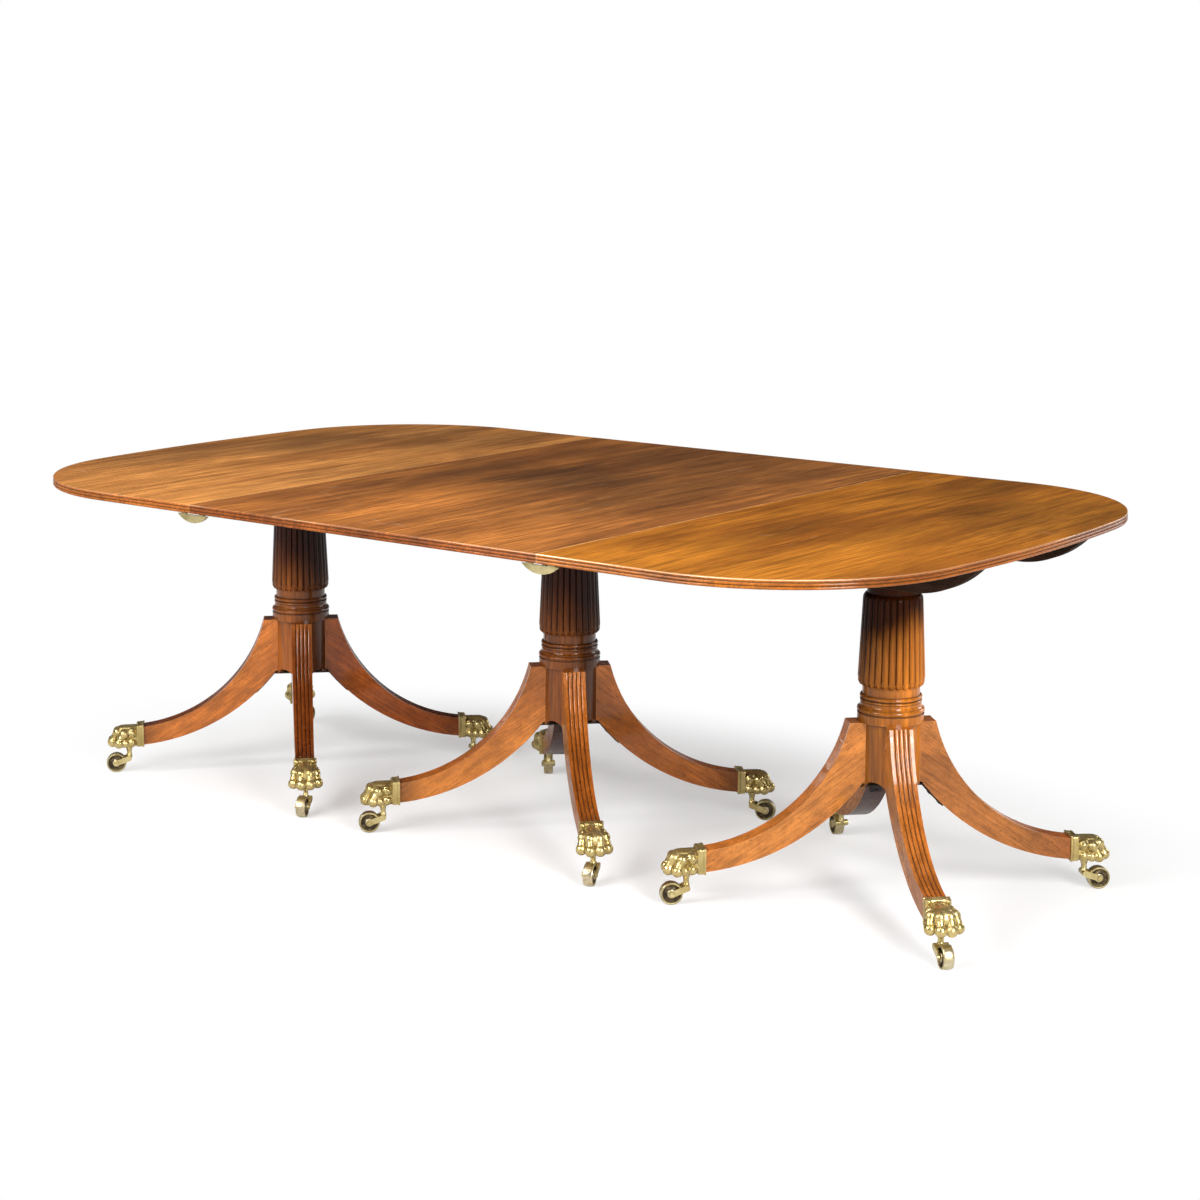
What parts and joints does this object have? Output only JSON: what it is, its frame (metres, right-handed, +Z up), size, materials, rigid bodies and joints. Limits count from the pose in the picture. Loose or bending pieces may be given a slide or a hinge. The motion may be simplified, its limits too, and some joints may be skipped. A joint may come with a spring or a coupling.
{
  "type": "dining table",
  "caption": "Mahogany dining table in pedestal sections: reeded tilting boards, reeded columns, sabre legs, lion paw caps, brass castors and half-moon clips",
  "frame": {"origin": "on the floor under the middle of the table", "axes": "+X along the table, +Y across it to the rear, +Z up"},
  "size_m": [2.2052, 1.316, 0.725],
  "materials": {
    "polished_mahogany": "french polish",
    "turned_mahogany": "french polish",
    "leg_mahogany": "french polish",
    "bearer_mahogany": "dull stain",
    "old_brass": "polished, toned",
    "wrought_iron": "blackened"
  },
  "bodies": {
    "frame": {"left_column": "turned_mahogany", "left_strap": "wrought_iron", "left_legs": "leg_mahogany", "left_paw_caps": "old_brass", "left_block": "bearer_mahogany", "centre_column": "turned_mahogany", "centre_strap": "wrought_iron", "centre_legs": "leg_mahogany", "centre_paw_caps": "old_brass", "centre_block": "bearer_mahogany", "centre_top": "polished_mahogany", "centre_clip_sockets": "old_brass", "centre_bearers": "bearer_mahogany", "centre_catch_case": "old_brass", "right_column": "turned_mahogany", "right_strap": "wrought_iron", "right_legs": "leg_mahogany", "right_paw_caps": "old_brass", "right_block": "bearer_mahogany"},
    "left_board": {"left_top": "polished_mahogany", "left_clip_sockets": "old_brass", "left_bearers": "bearer_mahogany", "left_catch_case": "old_brass"},
    "left_bolt": {"left_catch_bolt": "old_brass"},
    "centre_bolt": {"centre_catch_bolt": "old_brass"},
    "right_board": {"right_top": "polished_mahogany", "right_clip_sockets": "old_brass", "right_bearers": "bearer_mahogany", "right_catch_case": "old_brass"},
    "right_bolt": {"right_catch_bolt": "old_brass"},
    "left_front_clip": {"left_front_clip": "old_brass"},
    "left_rear_clip": {"left_rear_clip": "old_brass"},
    "right_front_clip": {"right_front_clip": "old_brass"},
    "right_rear_clip": {"right_rear_clip": "old_brass"},
    "left_rear_right_fork": {"left_rear_right_fork": "old_brass"},
    "left_rear_right_wheel": {"left_rear_right_wheel": "old_brass"},
    "left_rear_left_fork": {"left_rear_left_fork": "old_brass"},
    "left_rear_left_wheel": {"left_rear_left_wheel": "old_brass"},
    "left_front_left_fork": {"left_front_left_fork": "old_brass"},
    "left_front_left_wheel": {"left_front_left_wheel": "old_brass"},
    "left_front_right_fork": {"left_front_right_fork": "old_brass"},
    "left_front_right_wheel": {"left_front_right_wheel": "old_brass"},
    "centre_rear_right_fork": {"centre_rear_right_fork": "old_brass"},
    "centre_rear_right_wheel": {"centre_rear_right_wheel": "old_brass"},
    "centre_rear_left_fork": {"centre_rear_left_fork": "old_brass"},
    "centre_rear_left_wheel": {"centre_rear_left_wheel": "old_brass"},
    "centre_front_left_fork": {"centre_front_left_fork": "old_brass"},
    "centre_front_left_wheel": {"centre_front_left_wheel": "old_brass"},
    "centre_front_right_fork": {"centre_front_right_fork": "old_brass"},
    "centre_front_right_wheel": {"centre_front_right_wheel": "old_brass"},
    "right_rear_right_fork": {"right_rear_right_fork": "old_brass"},
    "right_rear_right_wheel": {"right_rear_right_wheel": "old_brass"},
    "right_rear_left_fork": {"right_rear_left_fork": "old_brass"},
    "right_rear_left_wheel": {"right_rear_left_wheel": "old_brass"},
    "right_front_left_fork": {"right_front_left_fork": "old_brass"},
    "right_front_left_wheel": {"right_front_left_wheel": "old_brass"},
    "right_front_right_fork": {"right_front_right_fork": "old_brass"},
    "right_front_right_wheel": {"right_front_right_wheel": "old_brass"}
  },
  "joints": [
    {"name": "left_board_tilt", "type": "hinge", "parent": "frame", "child": "left_board", "pos_m": [-0.902, 0, 0.6787], "axis": [0, -1, 0], "range_deg": [0, 88]},
    {"name": "left_bolt_slide", "type": "slide", "parent": "left_board", "child": "left_bolt", "axis": [-1, 0, 0], "range_m": [0, 0.009]},
    {"name": "centre_bolt_slide", "type": "slide", "parent": "frame", "child": "centre_bolt", "axis": [1, 0, 0], "range_m": [0, 0.009]},
    {"name": "right_board_tilt", "type": "hinge", "parent": "frame", "child": "right_board", "pos_m": [0.902, 0, 0.6787], "axis": [0, 1, 0], "range_deg": [0, 88]},
    {"name": "right_bolt_slide", "type": "slide", "parent": "right_board", "child": "right_bolt", "axis": [1, 0, 0], "range_m": [0, 0.009]},
    {"name": "left_front_clip_pull", "type": "slide", "parent": "frame", "child": "left_front_clip", "axis": [0, 0, -1], "range_m": [0, 0.018]},
    {"name": "left_rear_clip_pull", "type": "slide", "parent": "frame", "child": "left_rear_clip", "axis": [0, 0, -1], "range_m": [0, 0.018]},
    {"name": "right_front_clip_pull", "type": "slide", "parent": "frame", "child": "right_front_clip", "axis": [0, 0, -1], "range_m": [0, 0.018]},
    {"name": "right_rear_clip_pull", "type": "slide", "parent": "frame", "child": "right_rear_clip", "axis": [0, 0, -1], "range_m": [0, 0.018]},
    {"name": "left_rear_right_swivel", "type": "hinge", "parent": "frame", "child": "left_rear_right_fork", "pos_m": [-0.50211, 0.27789, 0.06], "axis": [0, 0, 1], "continuous": true},
    {"name": "left_rear_right_spin", "type": "hinge", "parent": "left_rear_right_fork", "child": "left_rear_right_wheel", "pos_m": [-0.48985, 0.30418, 0.0225], "axis": [-0.9063, 0.4226, 0], "continuous": true},
    {"name": "left_rear_left_swivel", "type": "hinge", "parent": "frame", "child": "left_rear_left_fork", "pos_m": [-1.05789, 0.27789, 0.06], "axis": [0, 0, 1], "continuous": true},
    {"name": "left_rear_left_spin", "type": "hinge", "parent": "left_rear_left_fork", "child": "left_rear_left_wheel", "pos_m": [-1.06293, 0.30645, 0.0225], "axis": [-0.9848, -0.1736, 0], "continuous": true},
    {"name": "left_front_left_swivel", "type": "hinge", "parent": "frame", "child": "left_front_left_fork", "pos_m": [-1.05789, -0.27789, 0.06], "axis": [0, 0, 1], "continuous": true},
    {"name": "left_front_left_spin", "type": "hinge", "parent": "left_front_left_fork", "child": "left_front_left_wheel", "pos_m": [-1.0784, -0.2984, 0.0225], "axis": [0.7071, -0.7071, 0], "continuous": true},
    {"name": "left_front_right_swivel", "type": "hinge", "parent": "frame", "child": "left_front_right_fork", "pos_m": [-0.50211, -0.27789, 0.06], "axis": [0, 0, 1], "continuous": true},
    {"name": "left_front_right_spin", "type": "hinge", "parent": "left_front_right_fork", "child": "left_front_right_wheel", "pos_m": [-0.48761, -0.30301, 0.0225], "axis": [0.866, 0.5, 0], "continuous": true},
    {"name": "centre_rear_right_swivel", "type": "hinge", "parent": "frame", "child": "centre_rear_right_fork", "pos_m": [0.27789, 0.27789, 0.06], "axis": [0, 0, 1], "continuous": true},
    {"name": "centre_rear_right_spin", "type": "hinge", "parent": "centre_rear_right_fork", "child": "centre_rear_right_wheel", "pos_m": [0.30301, 0.29239, 0.0225], "axis": [-0.5, 0.866, 0], "continuous": true},
    {"name": "centre_rear_left_swivel", "type": "hinge", "parent": "frame", "child": "centre_rear_left_fork", "pos_m": [-0.27789, 0.27789, 0.06], "axis": [0, 0, 1], "continuous": true},
    {"name": "centre_rear_left_spin", "type": "hinge", "parent": "centre_rear_left_fork", "child": "centre_rear_left_wheel", "pos_m": [-0.29653, 0.30011, 0.0225], "axis": [-0.766, -0.6428, 0], "continuous": true},
    {"name": "centre_front_left_swivel", "type": "hinge", "parent": "frame", "child": "centre_front_left_fork", "pos_m": [-0.27789, -0.27789, 0.06], "axis": [0, 0, 1], "continuous": true},
    {"name": "centre_front_left_spin", "type": "hinge", "parent": "centre_front_left_fork", "child": "centre_front_left_wheel", "pos_m": [-0.2984, -0.2984, 0.0225], "axis": [0.7071, -0.7071, 0], "continuous": true},
    {"name": "centre_front_right_swivel", "type": "hinge", "parent": "frame", "child": "centre_front_right_fork", "pos_m": [0.27789, -0.27789, 0.06], "axis": [0, 0, 1], "continuous": true},
    {"name": "centre_front_right_spin", "type": "hinge", "parent": "centre_front_right_fork", "child": "centre_front_right_wheel", "pos_m": [0.29015, -0.30418, 0.0225], "axis": [0.9063, 0.4226, 0], "continuous": true},
    {"name": "right_rear_right_swivel", "type": "hinge", "parent": "frame", "child": "right_rear_right_fork", "pos_m": [1.05789, 0.27789, 0.06], "axis": [0, 0, 1], "continuous": true},
    {"name": "right_rear_right_spin", "type": "hinge", "parent": "right_rear_right_fork", "child": "right_rear_right_wheel", "pos_m": [1.0784, 0.2984, 0.0225], "axis": [-0.7071, 0.7071, 0], "continuous": true},
    {"name": "right_rear_left_swivel", "type": "hinge", "parent": "frame", "child": "right_rear_left_fork", "pos_m": [0.50211, 0.27789, 0.06], "axis": [0, 0, 1], "continuous": true},
    {"name": "right_rear_left_spin", "type": "hinge", "parent": "right_rear_left_fork", "child": "right_rear_left_wheel", "pos_m": [0.47989, 0.29653, 0.0225], "axis": [-0.6428, -0.766, 0], "continuous": true},
    {"name": "right_front_left_swivel", "type": "hinge", "parent": "frame", "child": "right_front_left_fork", "pos_m": [0.50211, -0.27789, 0.06], "axis": [0, 0, 1], "continuous": true},
    {"name": "right_front_left_spin", "type": "hinge", "parent": "right_front_left_fork", "child": "right_front_left_wheel", "pos_m": [0.4816, -0.2984, 0.0225], "axis": [0.7071, -0.7071, 0], "continuous": true},
    {"name": "right_front_right_swivel", "type": "hinge", "parent": "frame", "child": "right_front_right_fork", "pos_m": [1.05789, -0.27789, 0.06], "axis": [0, 0, 1], "continuous": true},
    {"name": "right_front_right_spin", "type": "hinge", "parent": "right_front_right_fork", "child": "right_front_right_wheel", "pos_m": [1.07944, -0.2973, 0.0225], "axis": [0.6691, 0.7431, 0], "continuous": true}
  ]
}
